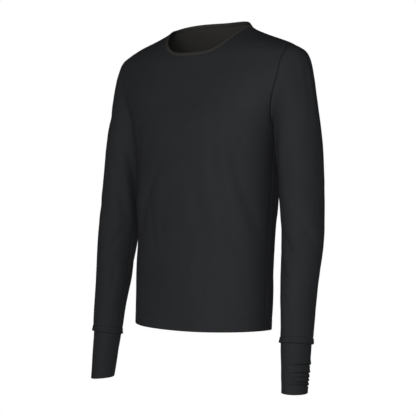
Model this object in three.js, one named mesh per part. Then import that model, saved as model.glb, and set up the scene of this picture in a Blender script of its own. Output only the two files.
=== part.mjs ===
// A men's long-sleeved base layer top in black stretch jersey, filled out as it is worn, with no wearer.
// It is cut as a front, a back, two set-in sleeves, two long cuffs and a narrow neck band.
// Millimetres. +Z is up, -Y is the front, +X is the wearer's left. The origin is the middle of the
// shoulder line, halfway between the two points where the shoulder seams meet the neck band.
import * as THREE from "three";

// Cloth and seams
const JERSEY_WALL = 1.4; // single jersey with its nap, as a wall
const CUFF_WALL = 2.0; // the cuff is two layers of jersey
const SEAM_GAP = 0.3; // between two pieces that are sewn together
const ARMHOLE_GAP = 0.36; // the same at the curved armhole seam, where the walls meet at an angle
const CUFF_LAP = 7; // how far the top of a cuff runs up inside the end of its sleeve

// Levels, measured down from the shoulder line
const HEM_Z = -638;
const HEM_DIP = 5; // how much lower the hem hangs at the middle of the front and back
const HEM_TILT = 5; // how much lower it hangs at the left side than at the middle, as worn
const HEM_EASE = 60; // the height over which both fade out
const UNDERARM_Z = -222;
const SHOULDER_TIP_Z = -41;
const SLEEVE_TUBE_Z = -256; // where the sleeve cap has become a plain tube
const SLEEVE_END_Z = -661;
const CUFF_END_Z = -765;

// Neck opening
const NECK_HALF_WIDTH = 105;
const NECK_FRONT_DROP = 61;
const NECK_BACK_RISE = 14;
const NECK_ROUNDNESS = 3.4; // 2 is a parabola, more is a flatter U
const NECK_BAND_WIDTH = 8;
const NECK_BAND_THICKNESS = 3;

// How the sleeve cap fills out over the shoulder: under 1 leaves sooner, over 1 drops later
const CAP_FULLNESS_OUT = 0.7;
const CAP_FULLNESS_DOWN = 1.9;

// Armhole, seen from the side: an egg about the side line of the body
const ARMHOLE_FRONT_REACH = 58;
const ARMHOLE_BACK_REACH = 64;

// Grid counts
const NECK_COLUMNS = 7;
const SHOULDER_COLUMNS = 5;
const BODY_ROWS = 12; // from the hem up to the underarm
const ARMHOLE_ROWS = 10; // from the underarm up to the shoulder tip
const CAP_RINGS = 7;
const SLEEVE_RINGS = 10;
const CUFF_RINGS = [0, 0.16, 0.36, 0.54, 0.93, 1]; // shares of its length, besides the tucks
const BAND_CORNERS = 10; // round the section of the neck band

// Level sections of the body: half width, depth in front of and behind the side line,
// where the side line lies, and how square the section is (2 is an ellipse).
const BODY_SECTIONS = table(
  ["z", "halfWidth", "front", "back", "side", "square"],
  [
    [40, 76, 40, 50, 2, 1.8],
    [15, 92, 44, 60, 1, 1.75],
    [0, 105, 48, 67, 0, 1.7],
    [-16, 141, 55, 74, 0, 1.75],
    [-27, 170, 62, 80, 0, 1.85],
    [-41, 206, 70, 87, 0, 2.0],
    [-60, 231, 79, 95, 0, 2.2],
    [-100, 239, 92, 105, 0, 2.4],
    [-145, 216, 106, 111, 0, 2.5],
    [-185, 193, 114, 114, -2, 2.5],
    [-222, 175, 118, 114, -4, 2.45],
    [-270, 167, 118, 112, -7, 2.35],
    [-400, 164, 112, 105, -17, 2.2],
    [-520, 163, 108, 103, -27, 2.15],
    [-660, 164, 107, 107, -36, 2.1],
  ],
);

// Sections of the left sleeve and cuff, square to the arm: where the arm's line passes,
// half the width across and from front to back, and how far the section is turned (degrees).
const ARM_SECTIONS = table(
  ["z", "x", "y", "across", "deep", "turn"],
  [
    [-225, 226, -5, 48, 54, 0],
    [-256, 227.5, -5, 47.5, 53, 0],
    [-330, 236, -10, 45.5, 50, 0],
    [-400, 243, -15, 42.5, 49, 0],
    [-465, 247, -22, 40.5, 46, 0],
    [-560, 248, -37, 35, 40, 2],
    [-661, 251, -51, 29.7, 34.6, 11],
    [-765, 255, -64, 24.6, 30, 12],
  ],
);

// The largest soft folds: two ends as seen from the front (x, z), half width, and depth.
// A negative depth is a ridge.
const FRONT_FOLDS = table(
  ["x0", "z0", "x1", "z1", "width", "depth"],
  [
    [112, -205, 158, -420, 13, 2.6],
    [70, -250, 140, -520, 17, 2.4],
    [25, -300, 78, -500, 20, 1.8],
    [-75, -300, -125, -480, 18, 2.2],
    [-120, -190, -140, -330, 13, 2.0],
  ],
);
const BACK_FOLDS = table(
  ["x0", "z0", "x1", "z1", "width", "depth"],
  [
    [105, -215, 70, -430, 18, 2.6],
    [-108, -210, -62, -450, 17, 2.4],
    [20, -380, 60, -560, 20, 1.8],
    [-30, -400, -75, -540, 20, 2.0],
  ],
);

// Tucks across the outer half of each cuff: share of the way down the cuff, and height.
const CUFF_TUCKS = table(
  ["share", "height"],
  [
    [0.45, 1.1],
    [0.62, 1.0],
    [0.7, 0.8],
    [0.77, 0.8],
    [0.85, 1.1],
  ],
);
const TUCK_HALF_WIDTH = 0.018; // share of the cuff's length
const TUCK_HALF_ARC = 70; // degrees either side of the tuck's middle
const TUCK_MIDDLE = 10; // degrees forward of the outermost line

const DEGREE = Math.PI / 180;

function table(columns, rows) {
  return rows.map((row) =>
    Object.fromEntries(columns.map((name, i) => [name, row[i]])),
  );
}

// The slope at each row of a column, kept flat at its turning points, so that a curve through
// the rows never swings past them.
function slopesOf(rows, key, column) {
  const secants = rows
    .slice(1)
    .map(
      (row, i) => (row[column] - rows[i][column]) / (row[key] - rows[i][key]),
    );
  return rows.map((_, i) => {
    const before = secants[Math.max(i - 1, 0)];
    const after = secants[Math.min(i, secants.length - 1)];
    return before * after <= 0 ? 0 : (2 * before * after) / (before + after);
  });
}

// A smooth curve through one column of a table whose rows run downwards in z.
function curveOf(rows, column) {
  const slopes = slopesOf(rows, "z", column);
  return (z) => {
    const last = rows.length - 2;
    let i = 0;
    while (i < last && z < rows[i + 1].z) i += 1;
    const span = rows[i + 1].z - rows[i].z;
    const t = THREE.MathUtils.clamp((z - rows[i].z) / span, 0, 1);
    const rise = t * t * (3 - 2 * t);
    return (
      rows[i][column] * (1 - rise) +
      rows[i + 1][column] * rise +
      slopes[i] * span * t * (1 - t) * (1 - t) -
      slopes[i + 1] * span * t * t * (1 - t)
    );
  };
}

function curvesOf(rows) {
  const names = Object.keys(rows[0]).filter((name) => name !== "z");
  return Object.fromEntries(names.map((name) => [name, curveOf(rows, name)]));
}

const body = curvesOf(BODY_SECTIONS);
const arm = curvesOf(ARM_SECTIONS);

// Half the thickness of the body at x and z, on one side of its side line (-1 front, 1 back).
function bodyDepth(x, z, side) {
  const power = body.square(z);
  const reach = side < 0 ? body.front(z) : body.back(z);
  const across = Math.min(Math.abs(x) / body.halfWidth(z), 1);
  return reach * Math.pow(1 - Math.pow(across, power), 1 / power);
}

// The half width of the body at a level, at a given distance from its side line.
function bodyWidthAt(z, offset, side) {
  const power = body.square(z);
  const reach = side < 0 ? body.front(z) : body.back(z);
  return (
    body.halfWidth(z) *
    Math.pow(1 - Math.pow(Math.min(offset / reach, 1), power), 1 / power)
  );
}

// Over 1 outside the body's sections and under 1 inside them.
function bodyField(p, side) {
  const power = body.square(p.z);
  const reach = side < 0 ? body.front(p.z) : body.back(p.z);
  const across = Math.abs(p.x) / body.halfWidth(p.z);
  const deep = Math.abs(p.y - body.side(p.z)) / reach;
  return Math.pow(across, power) + Math.pow(deep, power);
}

function bodyNormal(p, side) {
  const step = 0.05;
  const slope = (axis) => {
    const ahead = bodyField(p.clone().setComponent(axis, p.getComponent(axis) + step), side);
    const behind = bodyField(p.clone().setComponent(axis, p.getComponent(axis) - step), side);
    return ahead - behind;
  };
  return new THREE.Vector3(slope(0), slope(1), slope(2)).normalize();
}

// The level of the shoulder line at a distance x from the middle.
function shoulderLevel(x) {
  let high = 0;
  let low = SHOULDER_TIP_Z;
  for (let i = 0; i < 40; i += 1) {
    const middle = (high + low) / 2;
    if (body.halfWidth(middle) < x) high = middle;
    else low = middle;
  }
  return (high + low) / 2;
}

// The level of the neck seam at a distance x from the middle.
function neckLevel(x, side) {
  const share = 1 - Math.pow(Math.abs(x) / NECK_HALF_WIDTH, NECK_ROUNDNESS);
  return side < 0 ? -NECK_FRONT_DROP * share : NECK_BACK_RISE * share;
}

// A point of the armhole seam: turn 0 is the shoulder tip and 180 degrees the underarm.
function armholePoint(turn, side) {
  const middle = (SHOULDER_TIP_Z + UNDERARM_Z) / 2;
  const z = middle + ((SHOULDER_TIP_Z - UNDERARM_Z) / 2) * Math.cos(turn);
  const reach = side < 0 ? ARMHOLE_FRONT_REACH : ARMHOLE_BACK_REACH;
  const offset = reach * Math.abs(Math.sin(turn));
  return new THREE.Vector3(
    bodyWidthAt(z, offset, side),
    body.side(z) + side * offset,
    z,
  );
}

// How deep the folds push the cloth in at a point of a panel, as seen from the front.
function foldDepth(folds, x, z) {
  let depth = 0;
  for (const fold of folds) {
    const dx = fold.x1 - fold.x0;
    const dz = fold.z1 - fold.z0;
    const length = Math.hypot(dx, dz);
    const along = ((x - fold.x0) * dx + (z - fold.z0) * dz) / (length * length);
    if (along < 0 || along > 1) continue;
    const aside = ((x - fold.x0) * dz - (z - fold.z0) * dx) / length;
    depth +=
      fold.depth *
      Math.sin(Math.PI * along) *
      Math.exp(-Math.pow(aside / fold.width, 2));
  }
  return depth;
}

// A closed wall of cloth between a grid of outer points and the same grid moved in.
// A tube's rows close on themselves.
function clothWall(outer, inner, closed) {
  const rows = outer.length;
  const columns = outer[0].length;
  const positions = [];
  for (const grid of [outer, inner])
    for (const row of grid) for (const p of row) positions.push(p.x, p.y, p.z);
  const layer = rows * columns;
  const at = (wall, j, i) => wall * layer + j * columns + (i % columns);
  const faces = [];
  const quad = (a, b, c, d) => faces.push(a, b, c, a, c, d);
  const spans = closed ? columns : columns - 1;
  for (let j = 0; j < rows - 1; j += 1)
    for (let i = 0; i < spans; i += 1) {
      quad(at(0, j, i), at(0, j, i + 1), at(0, j + 1, i + 1), at(0, j + 1, i));
      quad(at(1, j, i), at(1, j + 1, i), at(1, j + 1, i + 1), at(1, j, i + 1));
    }
  const last = rows - 1;
  for (let i = 0; i < spans; i += 1) {
    quad(at(0, 0, i), at(1, 0, i), at(1, 0, i + 1), at(0, 0, i + 1));
    quad(at(0, last, i), at(0, last, i + 1), at(1, last, i + 1), at(1, last, i));
  }
  if (!closed) {
    const edge = columns - 1;
    for (let j = 0; j < last; j += 1) {
      quad(at(0, j, 0), at(0, j + 1, 0), at(1, j + 1, 0), at(1, j, 0));
      quad(at(0, j, edge), at(1, j, edge), at(1, j + 1, edge), at(0, j + 1, edge));
    }
  }
  const geometry = new THREE.BufferGeometry();
  geometry.setAttribute("position", new THREE.Float32BufferAttribute(positions, 3));
  geometry.setIndex(faces);
  return geometry;
}

// The columns of a body panel, as shares of the shoulder tip's distance from the middle.
function panelColumns() {
  const tip = body.halfWidth(SHOULDER_TIP_Z);
  const neckShare = NECK_HALF_WIDTH / tip;
  const neckAngle = Math.asin(neckShare);
  const half = [];
  for (let i = 1; i <= NECK_COLUMNS; i += 1)
    half.push(neckShare * Math.sin(((Math.PI / 2) * i) / NECK_COLUMNS));
  for (let i = 1; i <= SHOULDER_COLUMNS; i += 1)
    half.push(Math.sin(neckAngle + ((Math.PI / 2 - neckAngle) * i) / SHOULDER_COLUMNS));
  return [...half.map((share) => -share).reverse(), 0, ...half];
}

// The levels at which a panel's rows meet its side edge, from the hem to the shoulder tip.
function edgeLevels() {
  const levels = [];
  for (let j = 0; j < BODY_ROWS; j += 1)
    levels.push(HEM_Z + ((UNDERARM_Z - HEM_Z) * j) / BODY_ROWS);
  for (let j = 0; j <= ARMHOLE_ROWS; j += 1)
    levels.push(armholePoint(Math.PI * (1 - j / ARMHOLE_ROWS), -1).z);
  return levels;
}

// The front (side -1) or the back (side 1): a four-sided panel from the hem up to the armholes,
// shoulder seams and neck seam.
function bodyPanel(side, folds) {
  const tip = body.halfWidth(SHOULDER_TIP_Z);
  const shares = panelColumns();
  const outer = [];
  const inner = [];
  edgeLevels().forEach((level, j) => {
    const turn = Math.PI * (1 - (j - BODY_ROWS) / ARMHOLE_ROWS);
    const edge =
      j < BODY_ROWS ? body.halfWidth(level) : armholePoint(turn, side).x;
    const climb = Math.max((level - UNDERARM_Z) / (SHOULDER_TIP_Z - UNDERARM_Z), 0);
    const dip = Math.max(1 - (level - HEM_Z) / HEM_EASE, 0);
    const outerRow = [];
    const innerRow = [];
    for (const share of shares) {
      const reach = Math.abs(share) * tip;
      const top =
        reach < NECK_HALF_WIDTH ? neckLevel(reach, side) : shoulderLevel(reach);
      const x = share * edge;
      const z =
        Math.min(level, UNDERARM_Z) +
        (top - UNDERARM_Z) * climb -
        dip * (HEM_DIP * (1 - share * share) + HEM_TILT * share);
      // Where the hem hangs lower, the back's edge lies behind the side line, and the front reaches to it.
      const atSideSeam = side < 0 && j < BODY_ROWS && Math.abs(share) > 0.9999;
      const depth = atSideSeam
        ? SEAM_GAP - Math.max(bodyDepth(x, z, 1), SEAM_GAP / 2)
        : Math.max(bodyDepth(x, z, side), SEAM_GAP / 2);
      const p = new THREE.Vector3(x, body.side(z) + side * depth, z);
      const normal = bodyNormal(p, side);
      p.addScaledVector(normal, -foldDepth(folds, x, z));
      outerRow.push(p);
      innerRow.push(p.clone().addScaledVector(normal, -JERSEY_WALL));
    }
    // Rows that run from the wearer's right to left face forwards, so the back's are turned round.
    outer.push(side < 0 ? outerRow : outerRow.reverse());
    inner.push(side < 0 ? innerRow : innerRow.reverse());
  });
  return clothWall(outer, inner, false);
}

// The way the left arm's line runs at a level, downwards.
function armDirection(z) {
  const step = 4;
  return new THREE.Vector3(
    arm.x(z - step) - arm.x(z + step),
    arm.y(z - step) - arm.y(z + step),
    -2 * step,
  ).normalize();
}

// A point of the left sleeve or cuff round the arm's line: turn 0 is the outermost line,
// 90 degrees the front. More is how far it stands outside the section.
function armPoint(z, turn, more = 0) {
  const along = armDirection(z);
  const out = new THREE.Vector3(1, 0, 0);
  out.addScaledVector(along, -out.dot(along)).normalize();
  const forward = new THREE.Vector3().crossVectors(out, along).normalize();
  if (forward.y > 0) forward.negate();
  const twist = arm.turn(z) * DEGREE;
  const across = (arm.across(z) + more) * Math.cos(turn - twist);
  const deep = (arm.deep(z) + more) * Math.sin(turn - twist);
  return new THREE.Vector3(arm.x(z), arm.y(z), z)
    .addScaledVector(out, across * Math.cos(twist) - deep * Math.sin(twist))
    .addScaledVector(forward, across * Math.sin(twist) + deep * Math.cos(twist));
}

// The turns round an arm at which a ring has its points, the same as the armhole seam's rows.
function ringTurns() {
  const turns = [];
  for (let i = 0; i < 2 * ARMHOLE_ROWS; i += 1)
    turns.push((Math.PI * i) / ARMHOLE_ROWS);
  return turns;
}

function armholeRing() {
  return ringTurns().map((turn) =>
    turn <= Math.PI
      ? armholePoint(turn, -1)
      : armholePoint(2 * Math.PI - turn, 1),
  );
}

// The way the body's surface runs on past the armhole seam, towards the arm.
function capStart(turn, i, ring) {
  const count = ring.length;
  const side = turn <= Math.PI ? -1 : 1;
  const seam = ring[(i + 1) % count].clone().sub(ring[(i + count - 1) % count]);
  const start = seam.cross(bodyNormal(ring[i], side)).normalize();
  const middle = new THREE.Vector3(ring[0].x, 0, (ring[0].z + UNDERARM_Z) / 2);
  return start.dot(middle.sub(ring[i])) < 0 ? start.negate() : start;
}

// The cap of a sleeve: each line leaves the armhole seam towards the arm, partly along the body's
// surface, and bends down into the arm's own direction.
function capRing(share) {
  const along = armDirection(SLEEVE_TUBE_Z);
  const bend = (Math.PI / 2) * share;
  const goneOut = Math.pow(Math.sin(bend), CAP_FULLNESS_OUT);
  const goneDown = Math.pow(1 - Math.cos(bend), CAP_FULLNESS_DOWN);
  const seam = armholeRing();
  return sleeveEdge().map((start, i) => {
    const turn = ringTurns()[i];
    const way = armPoint(SLEEVE_TUBE_Z, turn, JERSEY_WALL + SEAM_GAP).sub(start);
    const out = way.clone().addScaledVector(along, -way.dot(along));
    const surface = capStart(turn, i, seam).multiplyScalar(out.length());
    out.lerp(surface, 1 - underarmShare(turn));
    const down = way.sub(out);
    return start.clone().addScaledVector(out, goneOut).addScaledVector(down, goneDown);
  });
}

// The sleeve's own edge at the armhole: the seam's ring, moved clear of the body panels.
// Over the shoulder it lies in line with them, and under the arm it stands beside them.
function sleeveEdge() {
  const seam = armholeRing();
  return ringTurns().map((turn, i) => {
    const aside = capStart(turn, i, seam).lerp(new THREE.Vector3(1, 0, 0), underarmShare(turn));
    return seam[i].clone().addScaledVector(aside.normalize(), ARMHOLE_GAP);
  });
}

// 0 over the shoulder, 1 under the arm.
function underarmShare(turn) {
  return Math.pow(Math.sin(turn / 2), 2);
}

// A tube of rings, as its outer points and its inner points: each outer point moved in along
// the tube's own normal.
function tube(rings, wall) {
  const count = rings[0].length;
  const inner = rings.map((ring, j) =>
    ring.map((p, i) => {
      const before = rings[Math.max(j - 1, 0)][i];
      const after = rings[Math.min(j + 1, rings.length - 1)][i];
      const along = after.clone().sub(before);
      const round = ring[(i + 1) % count].clone().sub(ring[(i + count - 1) % count]);
      return p.clone().addScaledVector(round.cross(along).normalize(), -wall);
    }),
  );
  return { outer: rings, inner };
}

function mirrored(rings) {
  return rings.map((ring) =>
    ring.map((p) => new THREE.Vector3(-p.x, p.y, p.z)).reverse(),
  );
}

// The left sleeve. Over the shoulder the wall at its edge is parallel to the body panels' walls.
function sleeve() {
  const rings = [sleeveEdge()];
  for (let j = 1; j < CAP_RINGS; j += 1) rings.push(capRing(j / CAP_RINGS));
  for (let j = 0; j <= SLEEVE_RINGS; j += 1) {
    const z = SLEEVE_TUBE_Z + ((SLEEVE_END_Z - SLEEVE_TUBE_Z) * j) / SLEEVE_RINGS;
    rings.push(ringTurns().map((turn) => armPoint(z, turn, JERSEY_WALL + SEAM_GAP)));
  }
  const { outer, inner } = tube(rings, JERSEY_WALL);
  ringTurns().forEach((turn, i) => {
    const normal = bodyNormal(armholeRing()[i], turn <= Math.PI ? -1 : 1);
    const ownWall = outer[0][i].clone().sub(inner[0][i]);
    normal.multiplyScalar(JERSEY_WALL).lerp(ownWall, underarmShare(turn)).setLength(JERSEY_WALL);
    inner[0][i] = outer[0][i].clone().sub(normal);
  });
  return { outer, inner };
}

// How far the tucks stand out of a cuff at a share of its length and a turn round it.
function tuckHeight(tucks, share, turn) {
  const aside = Math.atan2(
    Math.sin(turn - TUCK_MIDDLE * DEGREE),
    Math.cos(turn - TUCK_MIDDLE * DEGREE),
  );
  const fade = Math.max(Math.cos((aside / (TUCK_HALF_ARC * DEGREE)) * (Math.PI / 2)), 0);
  if (Math.abs(aside) > TUCK_HALF_ARC * DEGREE) return 0;
  const raised = tucks.filter(
    (tuck) => Math.abs(share - tuck.share) < TUCK_HALF_WIDTH / 2,
  );
  return raised.reduce((sum, tuck) => sum + tuck.height * Math.sqrt(fade), 0);
}

function cuff(tucked) {
  const top = SLEEVE_END_Z + CUFF_LAP;
  const tucks = tucked ? CUFF_TUCKS : [];
  const shares = [...CUFF_RINGS];
  for (const tuck of tucks)
    shares.push(tuck.share - TUCK_HALF_WIDTH, tuck.share, tuck.share + TUCK_HALF_WIDTH);
  shares.sort((a, b) => a - b);
  const level = (share) => top + (CUFF_END_Z - top) * share;
  const plain = shares.map((share) =>
    ringTurns().map((turn) => armPoint(level(share), turn)),
  );
  const { inner } = tube(plain, CUFF_WALL);
  const outer = shares.map((share) =>
    ringTurns().map((turn) => armPoint(level(share), turn, tuckHeight(tucks, share, turn))),
  );
  return { outer, inner };
}

// The neck band: a narrow bound edge that follows the neck seam and stands on it.
function neckBand() {
  const stations = 4 * NECK_COLUMNS; // the same points as the body panels' neck edges
  const seam = [];
  for (let i = 0; i < stations; i += 1) {
    const turn = (2 * Math.PI * i) / stations;
    const side = turn <= Math.PI ? -1 : 1;
    const x = NECK_HALF_WIDTH * Math.cos(turn);
    const z = neckLevel(x, side);
    seam.push(new THREE.Vector3(x, body.side(z) + side * bodyDepth(x, z, side), z));
  }
  const sections = seam.map((p, i) => {
    const side = i <= stations / 2 ? -1 : 1;
    const along = seam[(i + 1) % stations]
      .clone()
      .sub(seam[(i + stations - 1) % stations])
      .normalize();
    const out = bodyNormal(p, side);
    out.addScaledVector(along, -out.dot(along)).normalize();
    const up = new THREE.Vector3().crossVectors(along, out).normalize();
    if (up.z < 0) up.negate();
    const centre = p
      .clone()
      .addScaledVector(up, SEAM_GAP + NECK_BAND_WIDTH / 2)
      .addScaledVector(out, -JERSEY_WALL / 2);
    const section = [];
    for (let k = 0; k < BAND_CORNERS; k += 1) {
      const turn = (2 * Math.PI * k) / BAND_CORNERS;
      section.push(
        centre
          .clone()
          .addScaledVector(out, (NECK_BAND_THICKNESS / 2) * Math.cos(turn))
          .addScaledVector(up, (NECK_BAND_WIDTH / 2) * Math.sin(turn)),
      );
    }
    return section;
  });
  const positions = sections.flat().flatMap((p) => [p.x, p.y, p.z]);
  const faces = [];
  const at = (i, k) => (i % stations) * BAND_CORNERS + (k % BAND_CORNERS);
  for (let i = 0; i < stations; i += 1)
    for (let k = 0; k < BAND_CORNERS; k += 1)
      faces.push(
        at(i, k), at(i + 1, k + 1), at(i + 1, k),
        at(i, k), at(i, k + 1), at(i + 1, k + 1),
      );
  const geometry = new THREE.BufferGeometry();
  geometry.setAttribute("position", new THREE.Float32BufferAttribute(positions, 3));
  geometry.setIndex(faces);
  return geometry;
}

const jersey = new THREE.MeshStandardMaterial({ color: 0x222325, roughness: 0.85, metalness: 0 });
const bandJersey = new THREE.MeshStandardMaterial({ color: 0x2b2b2a, roughness: 0.8, metalness: 0 });

function piece(name, geometry, material) {
  const mesh = new THREE.Mesh(geometry, material);
  mesh.name = name;
  return mesh;
}

function wallPiece(name, wall, material) {
  return piece(name, clothWall(wall.outer, wall.inner, true), material);
}

function otherSide(wall) {
  return { outer: mirrored(wall.outer), inner: mirrored(wall.inner) };
}

const garment = new THREE.Group();
garment.add(piece("front", bodyPanel(-1, FRONT_FOLDS), jersey));
garment.add(piece("back", bodyPanel(1, BACK_FOLDS), jersey));
garment.add(wallPiece("sleeve_left", sleeve(), jersey));
garment.add(wallPiece("sleeve_right", otherSide(sleeve()), jersey));
garment.add(wallPiece("cuff_left", cuff(true), jersey));
garment.add(wallPiece("cuff_right", otherSide(cuff(false)), jersey));
garment.add(piece("neck_band", neckBand(), bandJersey));

export default garment;
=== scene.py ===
"""A men's long-sleeved base layer top in black stretch jersey, filled out as it is worn, with no wearer.

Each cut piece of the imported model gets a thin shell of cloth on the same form, worked out from the same
sections, with its soft creases, rolled seams, turned-up hem, doubled cuffs and stitching.
Tables and fields are in millimetres, and meshes are made in metres.
"""

import logging
import math
from dataclasses import dataclass, fields, replace
from enum import Enum
from typing import Any, Callable, Sequence

import bmesh
import bpy
import numpy as np
from mathutils import Matrix, Vector


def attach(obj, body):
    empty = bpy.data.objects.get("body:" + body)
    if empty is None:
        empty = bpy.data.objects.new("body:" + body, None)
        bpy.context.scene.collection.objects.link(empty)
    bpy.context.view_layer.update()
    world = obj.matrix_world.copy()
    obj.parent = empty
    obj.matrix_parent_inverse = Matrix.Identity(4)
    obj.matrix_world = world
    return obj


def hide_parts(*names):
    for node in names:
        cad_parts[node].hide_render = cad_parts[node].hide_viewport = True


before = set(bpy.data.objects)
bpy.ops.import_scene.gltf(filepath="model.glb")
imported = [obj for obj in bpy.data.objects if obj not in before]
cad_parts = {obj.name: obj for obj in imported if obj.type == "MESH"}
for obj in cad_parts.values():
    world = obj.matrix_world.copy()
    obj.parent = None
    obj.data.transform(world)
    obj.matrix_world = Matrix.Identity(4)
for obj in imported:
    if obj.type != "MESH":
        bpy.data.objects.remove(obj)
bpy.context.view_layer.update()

log = logging.getLogger("base_layer_top")
Array = np.ndarray

MM = 0.001
BODY = "root"

# Levels, measured down from the shoulder line
HEM_Z = -638.0
UNDERARM_Z = -222.0
SHOULDER_TIP_Z = -41.0
SLEEVE_TUBE_Z = -256.0
SLEEVE_END_Z = -661.0
CUFF_END_Z = -765.0

# Neck opening and its band
NECK_HALF_WIDTH = 105.0
NECK_FRONT_DROP = 61.0
NECK_BACK_RISE = 14.0
NECK_ROUNDNESS = 3.4

# Armhole and sleeve cap
ARMHOLE_FRONT_REACH = 58.0
ARMHOLE_BACK_REACH = 64.0
ARMHOLE_GAP = 0.36
CAP_FULLNESS_OUT = 0.7
CAP_FULLNESS_DOWN = 1.9
SLEEVE_OVER_CUFF = 1.7
CUFF_LAP = 7.0

# Cloth and seams
JERSEY_THICKNESS = 0.7
SEAM_GAP = 0.3
SEAM_ROLL = 1.0
SEAM_ALLOWANCE = (1.0, 2.4, 4.0)
SEAM_CLOSING = 0.12
DRAWN_IN_REACH = 14.0
FOLD_STEPS = (180, 155, 130, 105, 90, 75, 50, 25)
FAR = 1e3
FINE_LINES = (0.0, 0.12, 0.3, 0.55, 0.85, 1.2, 1.7, 2.4)
FINE_LINES_MARGIN = 1.3
FINE_LINES_LAST_SHARE = 0.97

# Relief of the cloth
ARM_RADIUS = 45.0
STITCH_DIP = 0.32
SEAM_VALLEY = 0.7
SEAM_VALLEY_REACH = 4.5
SEAM_EASE_REACH = 12.0


class Side(Enum):
    """The two sides of the body, by the sign of Y."""

    FRONT = -1
    BACK = 1


class Hand(Enum):
    """The wearer's left and right, by the sign of X."""

    LEFT = 1
    RIGHT = -1


class Edge(Enum):
    """The four edges of a grid of cloth."""

    FIRST_ROW = "first row"
    LAST_ROW = "last row"
    FIRST_COLUMN = "first column"
    LAST_COLUMN = "last column"

    @property
    def upright(self) -> bool:
        """True where the edge is a column."""
        return self in (Edge.FIRST_COLUMN, Edge.LAST_COLUMN)

    @property
    def last(self) -> bool:
        """True where the edge is the last line of its kind."""
        return self in (Edge.LAST_ROW, Edge.LAST_COLUMN)


@dataclass(frozen=True)
class BodySection:
    """A level section of the body.

    It has a half width, a depth before and behind the side line, the place of that line, and how square it
    is: 2 is an ellipse.
    """

    z: float
    half_width: float
    front: float
    back: float
    side: float
    square: float


@dataclass(frozen=True)
class ArmSection:
    """A section square to the left arm: its centre, its half widths across and deep, and its turn."""

    z: float
    x: float
    y: float
    across: float
    deep: float
    turn: float


BODY_SECTIONS = (
    BodySection(40, 76, 40, 50, 2, 1.8),
    BodySection(15, 92, 44, 60, 1, 1.75),
    BodySection(0, 105, 48, 67, 0, 1.7),
    BodySection(-16, 141, 55, 74, 0, 1.75),
    BodySection(-27, 170, 62, 80, 0, 1.85),
    BodySection(-41, 206, 70, 87, 0, 2.0),
    BodySection(-60, 231, 79, 95, 0, 2.2),
    BodySection(-100, 239, 92, 105, 0, 2.4),
    BodySection(-145, 216, 106, 111, 0, 2.5),
    BodySection(-185, 193, 114, 114, -2, 2.5),
    BodySection(-222, 175, 118, 114, -4, 2.45),
    BodySection(-270, 167, 118, 112, -7, 2.35),
    BodySection(-400, 164, 112, 105, -17, 2.2),
    BodySection(-520, 163, 108, 103, -27, 2.15),
    BodySection(-660, 164, 107, 107, -36, 2.1),
)

ARM_SECTIONS = (
    ArmSection(-225, 226, -5, 48, 54, 0),
    ArmSection(-256, 227.5, -5, 47.5, 53, 0),
    ArmSection(-330, 236, -10, 45.5, 50, 0),
    ArmSection(-400, 243, -15, 42.5, 49, 0),
    ArmSection(-465, 247, -22, 40.5, 46, 0),
    ArmSection(-560, 248, -37, 35, 40, 2),
    ArmSection(-661, 251, -51, 29.7, 34.6, 11),
    ArmSection(-765, 255, -64, 24.6, 30, 12),
)

# How far the curves are eased: the body's by level, and the arm's everywhere
BODY_EASING = ((-220, -120, -50), (22, 10, 3))
ARM_EASING = 16.0


def linked(name: str, data: bpy.types.ID) -> bpy.types.Object:
    """Makes an object and links it to the scene.

    Args:
        name: The object's name.
        data: Its mesh, light or camera.

    Returns:
        The object.
    """
    made = bpy.data.objects.new(name, data)
    bpy.context.scene.collection.objects.link(made)
    return made


def unit(vectors: Array) -> Array:
    """The vectors along the last axis, each made one long."""
    return vectors / np.maximum(np.linalg.norm(vectors, axis=-1, keepdims=True), 1e-12)


def wrapped(turn: Array) -> Array:
    """Angles brought between minus and plus half a turn."""
    return (turn + np.pi) % (2 * np.pi) - np.pi


def lengths_along(place: Array, axis: int) -> Array:
    """How far each point lies from the first one along an axis of a grid.

    Args:
        place: Points, rows by columns by 3.
        axis: 0 to measure along the columns, 1 along the rows.

    Returns:
        A length for each point, in the points' own unit.
    """
    steps = np.linalg.norm(np.diff(place, axis=axis), axis=-1)
    start = np.zeros_like(np.take(steps, [0], axis=axis))
    return np.concatenate((start, np.cumsum(steps, axis=axis)), axis=axis)


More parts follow.
